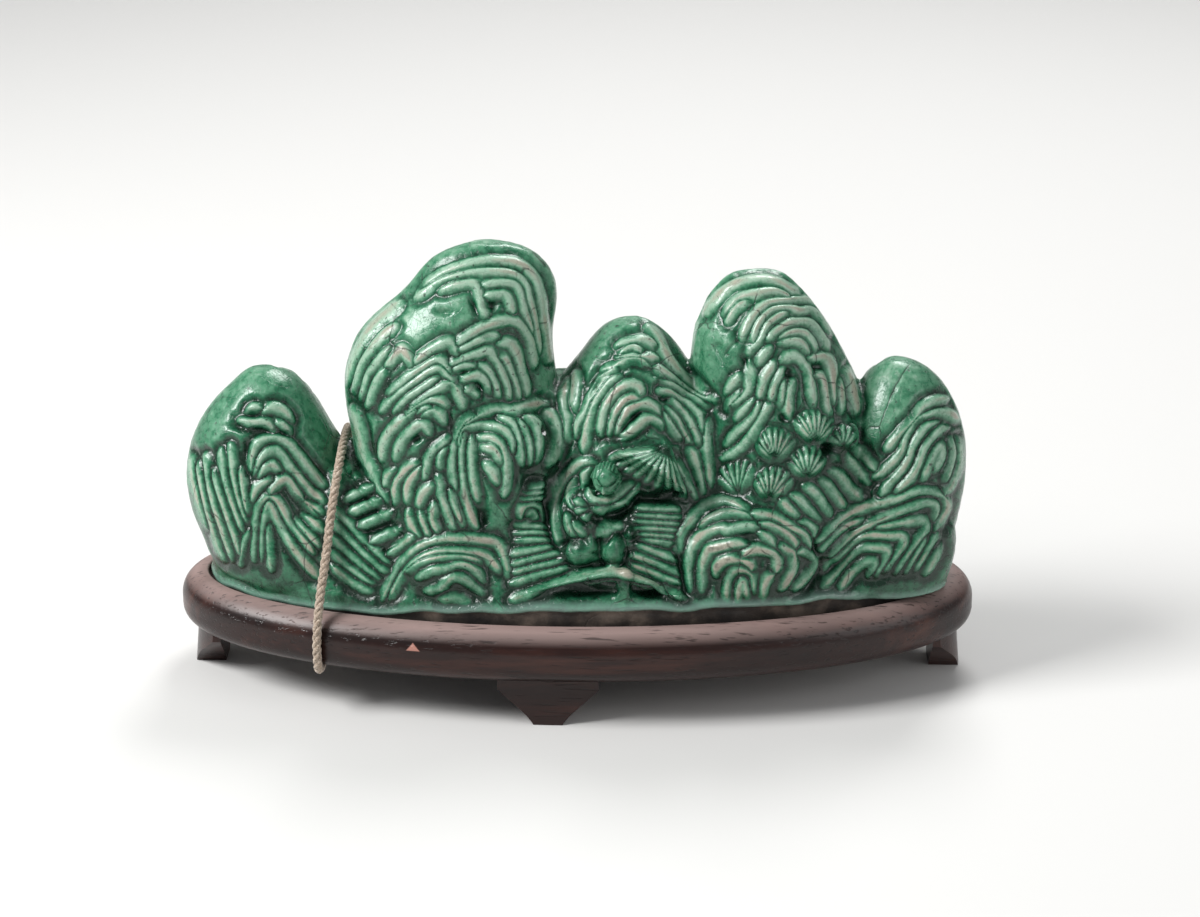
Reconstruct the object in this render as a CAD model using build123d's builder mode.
"""A mountain brush rest of green glazed pottery on its oval wooden stand, tied down with twine.

The pottery is one hollow, press-moulded piece with five peaks, open at the base. It stands in the
shallow recess of a solid board, which stands on four bracket feet, each glued into a mortise.
A loop of twine runs over the saddle between the first two peaks and under the board.
X runs along the rest, -Y faces the viewer, and Z = 0 is the surface that the feet stand on.
"""
import os
from math import pi, radians, tan

from build123d import *

os.makedirs("parts", exist_ok=True)

# The board of the stand: an oval with a rounded edge, and a recess that leaves a rim.
stand_length = 170.0 * MM
stand_depth = 72.0 * MM
board_thickness = 11.4 * MM
rim_width = 5.9 * MM
recess_depth = 2.0 * MM
upper_round = 5.3 * MM
lower_round = 4.0 * MM
rim_edge_round = 0.5 * MM

# The feet: brackets with an ogee outline, each with a tenon glued into the board.
foot_height = 9.6 * MM
foot_width = 21.0 * MM
foot_toe_width = 6.0 * MM
foot_shoulder = 1.9 * MM
foot_inset = 3.2 * MM
foot_thickness = 5.8 * MM
foot_flare = 0.9 * MM
foot_shift = -5.3 * MM
foot_knee_shares = (0.49, 0.35)
foot_waist_shares = (0.76, 0.68)
tenon_width = 8.0 * MM
tenon_thickness = 3.0 * MM
tenon_height = 4.0 * MM
glue_gap = 0.05 * MM
tenon_end_gap = 0.3 * MM

# The pottery: its greatest length, the depth of its foot, the peaks' heights and the wall.
rest_length = 165.0 * MM
rest_foot_length = 156.4 * MM
rest_foot_depth = 58.0 * MM
first_peak_height = 47.7 * MM
second_peak_height = 75.3 * MM
third_peak_height = 58.9 * MM
fourth_peak_height = 69.3 * MM
fifth_peak_height = 50.4 * MM
core_height = 27.6 * MM
shoulder_height = 45.0 * MM
wall = 5.0 * MM
least_hollow = 3.0 * MM

# The twine, and the knot that ties its two ends at the back.
twine_diameter = 2.0 * MM
bend_share = 0.45
knot_radius = 2.3 * MM
knot_length = 4.6 * MM
knot_round = 0.8 * MM
# The twine leaves the knot upwards, runs over the saddle, down the front, under the board and up.
knot_place_share = 0.57
twine_route = [
    (-51.6, 22.6, 33.0),
    (-50.4, 17.6, 41.8),
    (-49.2, 11.0, 49.2),
    (-48.9, 3.6, 51.4),
    (-48.9, -3.6, 51.4),
    (-49.2, -11.0, 49.2),
    (-50.4, -17.6, 41.8),
    (-51.4, -22.4, 32.6),
    (-52.6, -26.4, 24.9),
    (-53.2, -29.6, 17.5),
    (-53.1, -29.4, 8.4),
    (-52.9, -13.0, 8.4),
    (-52.9, 13.0, 8.4),
    (-53.1, 29.4, 8.4),
    (-53.2, 29.6, 17.5),
]
left_tail_route = [
    (-53.4, 26.3, 26.3),
    (-56.4, 27.4, 26.0),
    (-57.8, 28.4, 22.6),
    (-58.2, 28.6, 17.4),
    (-58.3, 28.5, 12.6),
]
right_tail_route = [
    (-51.4, 26.4, 26.6),
    (-48.6, 27.8, 26.6),
    (-46.8, 30.6, 23.6),
    (-46.4, 32.0, 18.6),
    (-46.3, 32.2, 13.8),
]

# One overrun serves every cut that has to pass a face.
overrun = 1.0 * MM

board_underside = foot_height
board_top = foot_height + board_thickness
seat = board_top - recess_depth
rest_depth = rest_foot_depth

# A peak is a stack of ovals. Each row holds the share of the peak's height, the oval's left and
# right edges as shares of the rest's length, and its half depth as a share of the rest's depth.
first_peak_shares = [
    (0.094, -0.470, -0.230, 0.320),
    (0.231, -0.486, -0.245, 0.317),
    (0.377, -0.499, -0.263, 0.303),
    (0.524, -0.502, -0.283, 0.276),
    (0.671, -0.492, -0.305, 0.238),
    (0.797, -0.472, -0.325, 0.195),
    (0.901, -0.446, -0.344, 0.143),
    (0.964, -0.427, -0.365, 0.086),
    (0.994, -0.412, -0.385, 0.033),
]
second_peak_shares = [
    (0.060, -0.291, -0.012, 0.470),
    (0.186, -0.287, -0.012, 0.440),
    (0.319, -0.285, -0.012, 0.392),
    (0.452, -0.288, -0.016, 0.350),
    (0.571, -0.295, -0.023, 0.314),
    (0.677, -0.287, -0.029, 0.280),
    (0.770, -0.261, -0.028, 0.242),
    (0.850, -0.221, -0.024, 0.203),
    (0.916, -0.195, -0.032, 0.155),
    (0.967, -0.168, -0.052, 0.100),
    (0.996, -0.130, -0.086, 0.038),
]
third_peak_shares = [
    (0.076, -0.073, 0.206, 0.475),
    (0.221, -0.070, 0.203, 0.440),
    (0.374, -0.066, 0.199, 0.393),
    (0.526, -0.055, 0.188, 0.345),
    (0.662, -0.041, 0.175, 0.298),
    (0.781, -0.017, 0.153, 0.247),
    (0.883, 0.010, 0.130, 0.186),
    (0.951, 0.030, 0.109, 0.121),
    (0.992, 0.056, 0.089, 0.045),
]
fourth_peak_shares = [
    (0.065, 0.145, 0.376, 0.430),
    (0.202, 0.145, 0.380, 0.413),
    (0.346, 0.145, 0.382, 0.382),
    (0.476, 0.145, 0.375, 0.338),
    (0.606, 0.145, 0.365, 0.297),
    (0.721, 0.144, 0.343, 0.260),
    (0.823, 0.149, 0.320, 0.220),
    (0.909, 0.164, 0.294, 0.164),
    (0.967, 0.182, 0.272, 0.100),
    (0.996, 0.215, 0.248, 0.035),
]
fifth_peak_shares = [
    (0.089, 0.267, 0.470, 0.325),
    (0.238, 0.279, 0.487, 0.320),
    (0.377, 0.297, 0.495, 0.303),
    (0.516, 0.315, 0.499, 0.275),
    (0.655, 0.330, 0.496, 0.238),
    (0.774, 0.344, 0.486, 0.200),
    (0.873, 0.358, 0.469, 0.155),
    (0.944, 0.374, 0.448, 0.103),
    (0.992, 0.396, 0.418, 0.036),
]
peaks = [
    (first_peak_height, first_peak_shares),
    (second_peak_height, second_peak_shares),
    (third_peak_height, third_peak_shares),
    (fourth_peak_height, fourth_peak_shares),
    (fifth_peak_height, fifth_peak_shares),
]

# Rocks stand against the mountains, before and behind them. Each row holds the rock's middle as a
# share of the rest's length, its distance out from the middle line as a share of the rest's depth,
# its bottom and top as shares of the second peak's height, and its half width and half depth.
rock_shares = [
    (-0.155, -0.300, 0.040, 0.262, 0.076, 0.170),
    (0.220, -0.275, 0.040, 0.362, 0.088, 0.190),
    (0.382, -0.130, 0.040, 0.368, 0.104, 0.200),
    (-0.082, -0.225, 0.262, 0.590, 0.065, 0.165),
    (-0.330, -0.150, 0.040, 0.300, 0.110, 0.200),
    (0.150, 0.290, 0.040, 0.330, 0.090, 0.180),
    (-0.190, 0.270, 0.040, 0.420, 0.095, 0.180),
    (0.370, 0.130, 0.040, 0.350, 0.110, 0.200),
    (-0.020, 0.240, 0.260, 0.560, 0.070, 0.160),
]
# The seated angler's robe has the same kind of row as a rock.
robe_shares = (0.016, -0.350, 0.225, 0.390, 0.036, 0.085)
# A rock rounds off: share of its height, and share of its half width and half depth.
rounding_shares = [(0.0, 0.88), (0.3, 1.0), (0.6, 0.94), (0.85, 0.66), (0.97, 0.30), (1.0, 0.12)]

# The angler's head, and the places of the small things on the front, each as a share of the rest's
# length, a share of its depth and a share of the second peak's height.
head_radius = 3.0 * MM
head_shares = (0.041, -0.360, 0.412)
canopy_apex_shares = (0.115, -0.280, 0.492)
canopy_lean_shares = (-0.55, -0.62, -0.80)
canopy_length = 8.0 * MM
canopy_apex_radius = 1.2 * MM
canopy_spread = 44.0
pine_radius = 3.7 * MM
pine_sink = 1.9 * MM
pine_shares = [
    (0.293, -0.290, 0.537),
    (0.245, -0.314, 0.502),
    (0.201, -0.302, 0.402),
    (0.242, -0.348, 0.389),
    (0.289, -0.324, 0.441),
    (0.334, -0.236, 0.494),
]

# Two flights of steps climb between the mountains, one tread above another.
tread_width = 7.4 * MM
tread_rise = 2.2 * MM
tread_depth = 9.0 * MM
left_flight_shares = [(-0.276, -0.160, 0.352), (-0.218, -0.320, 0.214)]
left_flight_treads = 5
left_flight_tilt = -26.0
right_flight_shares = [(0.300, -0.300, 0.330), (0.372, -0.140, 0.440)]
right_flight_treads = 7
right_flight_tilt = 50.0

# The footbridge: its deck's upper edge from left to right, and one post under its middle.
bridge_shares = [(-0.055, 0.118), (0.040, 0.172), (0.066, 0.172), (0.135, 0.104)]
bridge_deck = 2.0 * MM
bridge_front_share = 0.487
bridge_width = 5.0 * MM
bridge_post = 3.0 * MM
bridge_post_share = 0.062

# The small hole that lets air out of the hollow while the pottery is fired.
vent_radius = 1.05 * MM
vent_shares = (0.317, 0.482)
vent_end_share = 0.07

# The low mass under all the peaks, and the shoulder that joins them behind the brushes' valleys.
core_shares = [
    (0.166, -0.473, 0.473, 0.500),
    (0.400, -0.482, 0.482, 0.450),
    (0.760, -0.473, 0.473, 0.360),
    (1.000, -0.436, 0.436, 0.250),
]
shoulder_shares = [
    (0.470, -0.291, 0.455, 0.320),
    (0.740, -0.267, 0.430, 0.260),
    (0.920, -0.182, 0.376, 0.205),
    (1.000, -0.097, 0.315, 0.165),
]


def stack_of_ovals(height, shares, inset=0.0):
    """The ovals of a stack: level, middle, half width and half depth, drawn in by the inset."""
    ovals = []
    for height_share, left_share, right_share, depth_share in shares:
        level = seat + height_share * (height - inset)
        middle = (left_share + right_share) / 2 * rest_length
        half_width = (right_share - left_share) / 2 * rest_length - inset
        half_depth = depth_share * rest_depth - inset
        if inset == 0 or min(half_width, half_depth) >= least_hollow:
            ovals.append((level, middle, half_width, half_depth))
    return ovals


def place(shares):
    """A point on the rest, from its shares of the length, the depth and the second peak's height."""
    along_share, out_share, height_share = shares
    height = seat + height_share * second_peak_height
    return Vector(along_share * rest_length, out_share * rest_depth, height)


stacks = [(core_height, core_shares), (shoulder_height, shoulder_shares), *peaks]
foot_rise = core_shares[0][0] * core_height

with BuildPart() as rest_body:
    # The foot is a straight oval, and the core's first oval continues it upwards.
    with BuildSketch(Plane.XY.offset(seat)):
        Ellipse(rest_foot_length / 2, rest_foot_depth / 2)
    extrude(amount=foot_rise + overrun)
    masses = []
    for height, shares in stacks:
        for level, middle, half_width, half_depth in stack_of_ovals(height, shares):
            with BuildSketch(Plane.XY.offset(level)):
                with Locations((middle, 0)):
                    Ellipse(half_width, half_depth)
        masses.append(loft(mode=Mode.PRIVATE))
    for row_shares in [*rock_shares, robe_shares]:
        along_share, out_share, bottom_share, top_share, width_share, depth_share = row_shares
        bottom = seat + bottom_share * second_peak_height
        rise = (top_share - bottom_share) * second_peak_height
        half_width = width_share * rest_length
        half_depth = depth_share * rest_depth
        for height_share, size_share in rounding_shares:
            with BuildSketch(Plane.XY.offset(bottom + height_share * rise)):
                with Locations((along_share * rest_length, out_share * rest_depth)):
                    Ellipse(size_share * half_width, size_share * half_depth)
        masses.append(loft(mode=Mode.PRIVATE))
    # The canopy over the angler spreads from its apex, forwards and down to the left.
    with BuildSketch(Plane(origin=place(canopy_apex_shares), z_dir=canopy_lean_shares)):
        Circle(canopy_apex_radius)
    masses.append(extrude(amount=canopy_length, taper=-canopy_spread, mode=Mode.PRIVATE))
    with Locations(place(head_shares)):
        masses.append(Sphere(head_radius, mode=Mode.PRIVATE))
    for pine in pine_shares:
        with Locations(place(pine) + Vector(0, pine_sink, 0)):
            masses.append(Sphere(pine_radius, mode=Mode.PRIVATE))
    # Each tread is a block set into the slope, turned as its flight turns.
    for (low, high), treads, tilt in [
        (left_flight_shares, left_flight_treads, left_flight_tilt),
        (right_flight_shares, right_flight_treads, right_flight_tilt),
    ]:
        for tread in range(treads):
            middle = place(low) + (place(high) - place(low)) * (tread / (treads - 1))
            with Locations(Location(middle, (0, tilt, 0))):
                masses.append(
                    Box(
                        tread_width,
                        tread_depth,
                        tread_rise,
                        align=(Align.CENTER, Align.MIN, Align.CENTER),
                        mode=Mode.PRIVATE,
                    )
                )
    # The bridge's deck is one bent strip, with its post down to the foot.
    bridge_front = bridge_front_share * rest_depth
    deck_top = [
        (along_share * rest_length, seat + height_share * second_peak_height)
        for along_share, height_share in bridge_shares
    ]
    deck_under = [(along, height - bridge_deck) for along, height in reversed(deck_top)]
    with BuildSketch(Plane.XZ.offset(bridge_front - bridge_width)):
        with BuildLine():
            Polyline(*deck_top, *deck_under, close=True)
        make_face()
        with Locations((bridge_post_share * rest_length, seat + foot_rise)):
            Rectangle(
                bridge_post,
                bridge_shares[1][1] * second_peak_height - foot_rise,
                align=(Align.CENTER, Align.MIN),
            )
    masses.append(extrude(amount=bridge_width, mode=Mode.PRIVATE))
    add(masses)

# The hollow follows the stacks, drawn in by the wall, and is open at the foot.
with BuildPart() as hollow:
    with BuildSketch(Plane.XY.offset(seat - overrun)):
        Ellipse(rest_foot_length / 2 - wall, rest_foot_depth / 2 - wall)
    extrude(amount=foot_rise + 2 * overrun)
    fingers = []
    for height, shares in stacks:
        for level, middle, half_width, half_depth in stack_of_ovals(height, shares, wall):
            with BuildSketch(Plane.XY.offset(level)):
                with Locations((middle, 0)):
                    Ellipse(half_width, half_depth)
        fingers.append(loft(mode=Mode.PRIVATE))
    vent_along = vent_shares[0] * rest_length
    vent_height = seat + vent_shares[1] * second_peak_height
    with BuildSketch(Plane.XZ.offset(vent_end_share * rest_depth)):
        with Locations((vent_along, vent_height)):
            Circle(vent_radius)
    fingers.append(extrude(amount=rest_depth / 2, mode=Mode.PRIVATE))
    add(fingers)

with rest_body:
    add(hollow.part, mode=Mode.SUBTRACT)
rest_body.part.label = "rest_body"
export_step(rest_body.part, "parts/rest_body.step")
print("rest_body", round(rest_body.part.volume), "mm3, wall", wall)

with BuildPart() as stand_board:
    with BuildSketch(Plane.XY.offset(board_underside)):
        Ellipse(stand_length / 2, stand_depth / 2)
    extrude(amount=board_thickness)
    fillet(stand_board.edges().group_by(Axis.Z)[-1], upper_round)
    fillet(stand_board.edges().group_by(Axis.Z)[0], lower_round)
    with BuildSketch(Plane.XY.offset(seat)):
        Ellipse(stand_length / 2 - rim_width, stand_depth / 2 - rim_width)
    extrude(amount=recess_depth + overrun, mode=Mode.SUBTRACT)
    rim_edges = stand_board.edges().group_by(Axis.Z)[-1].sort_by(SortBy.LENGTH)
    fillet(rim_edges[0], rim_edge_round)

# A foot's outer face follows the oval of the board, a little inside it, and flares to its toe.
# Each row holds the foot's name, its middle on the board's outline and the way that it faces.
board_half_length = stand_length / 2
board_half_depth = stand_depth / 2
foot_places = [
    ("foot_front", (foot_shift, -board_half_depth), (0, -1)),
    ("foot_back", (foot_shift, board_half_depth), (0, 1)),
    ("foot_left", (-board_half_length, 0), (-1, 0)),
    ("foot_right", (board_half_length, 0), (1, 0)),
]
feet = []
for foot_name, (along, out), (face_x, face_y) in foot_places:
    sideways = (-face_y, face_x, 0)
    face_plane = Plane(origin=(along, out, 0), x_dir=sideways, z_dir=(face_x, face_y, 0))
    tenon_in = foot_inset + foot_thickness / 2
    tenon_plane = Plane(
        origin=(along - face_x * tenon_in, out - face_y * tenon_in, board_underside),
        x_dir=sideways,
    )
    with BuildPart() as foot:
        with BuildSketch(face_plane):
            with BuildLine():
                shoulder = (foot_width / 2, foot_height - foot_shoulder)
                waist = (foot_waist_shares[0] * shoulder[0], foot_waist_shares[1] * shoulder[1])
                knee = (foot_knee_shares[0] * shoulder[0], foot_knee_shares[1] * shoulder[1])
                toe = (foot_toe_width / 2, 0)
                Polyline((0, 0), toe)
                Spline(toe, knee, waist, shoulder)
                Polyline(shoulder, (foot_width / 2, foot_height), (0, foot_height))
                mirror(about=Plane.YZ)
            make_face()
        extrude(amount=-(foot_inset + foot_thickness))
        sole_inset = foot_inset - foot_flare
        with BuildSketch():
            Ellipse(board_half_length - sole_inset, board_half_depth - sole_inset)
        with BuildSketch(Plane.XY.offset(foot_height)):
            Ellipse(board_half_length - foot_inset, board_half_depth - foot_inset)
        loft(mode=Mode.INTERSECT)
        with BuildSketch(tenon_plane):
            Rectangle(tenon_width, tenon_thickness)
        extrude(amount=tenon_height)
    with stand_board:
        with BuildSketch(tenon_plane):
            Rectangle(tenon_width + 2 * glue_gap, tenon_thickness + 2 * glue_gap)
        extrude(amount=tenon_height + tenon_end_gap, mode=Mode.SUBTRACT)
    foot.part.label = foot_name
    feet.append(foot.part)
    export_step(foot.part, f"parts/{foot_name}.step")
stand_board.part.label = "stand_board"
export_step(stand_board.part, "parts/stand_board.step")
print("stand_board", round(stand_board.part.volume), "mm3")


def bend_radii(route):
    """The radius at each inner point: 0.45 of the shorter run over the tangent of half the turn."""
    radii = []
    for before, here, after in zip(route, route[1:], route[2:]):
        first_run = Vector(here) - Vector(before)
        second_run = Vector(after) - Vector(here)
        half_turn = radians(first_run.get_angle(second_run)) / 2
        radii.append(bend_share * min(first_run.length, second_run.length) / tan(half_turn))
    return radii


# The knot is a short barrel on the twine's line. The twine's two ends meet its flat faces.
knot_run = Vector(*twine_route[0]) - Vector(*twine_route[-1])
knot_centre = Vector(*twine_route[-1]) + knot_run * knot_place_share
knot_axis = knot_run.normalized()
knot_plane = Plane(origin=knot_centre - knot_axis * (knot_length / 2), z_dir=knot_axis)
twine_start = knot_centre + knot_axis * (knot_length / 2)
twine_end = knot_centre - knot_axis * (knot_length / 2)
tie_points = [twine_start, *[Vector(*point) for point in twine_route], twine_end]
tie_radii = bend_radii(tie_points)
with BuildPart() as tie_string:
    with BuildLine() as tie_line:
        FilletPolyline(*tie_points, radius=tie_radii)
    with BuildSketch(Plane(origin=tie_line.line @ 0, z_dir=tie_line.line % 0)):
        Circle(twine_diameter / 2)
    sweep(path=tie_line.line)
tie_string.part.label = "tie_string"
export_step(tie_string.part, "parts/tie_string.step")
tube = pi * twine_diameter**2 / 4 * tie_line.wire().length
print("tie_string radii", [round(radius, 1) for radius in tie_radii])
print("tie_string", round(tie_string.part.volume, 1), "mm3, section times length", round(tube, 1))

# The knot's barrel and its two cut tails are one piece.
with BuildPart() as tie_knot:
    with BuildSketch(knot_plane):
        Circle(knot_radius)
    extrude(amount=knot_length)
    fillet(tie_knot.edges().filter_by(GeomType.CIRCLE), knot_round)
    for tail_route in [left_tail_route, right_tail_route]:
        tail_points = [Vector(*point) for point in tail_route]
        with BuildLine() as tail_line:
            FilletPolyline(*tail_points, radius=bend_radii(tail_points))
        with BuildSketch(Plane(origin=tail_line.line @ 0, z_dir=tail_line.line % 0)):
            Circle(twine_diameter / 2)
        sweep(path=tail_line.line)
        print("tail radii", [round(radius, 1) for radius in bend_radii(tail_points)])
tie_knot.part.label = "tie_knot"
export_step(tie_knot.part, "parts/tie_knot.step")
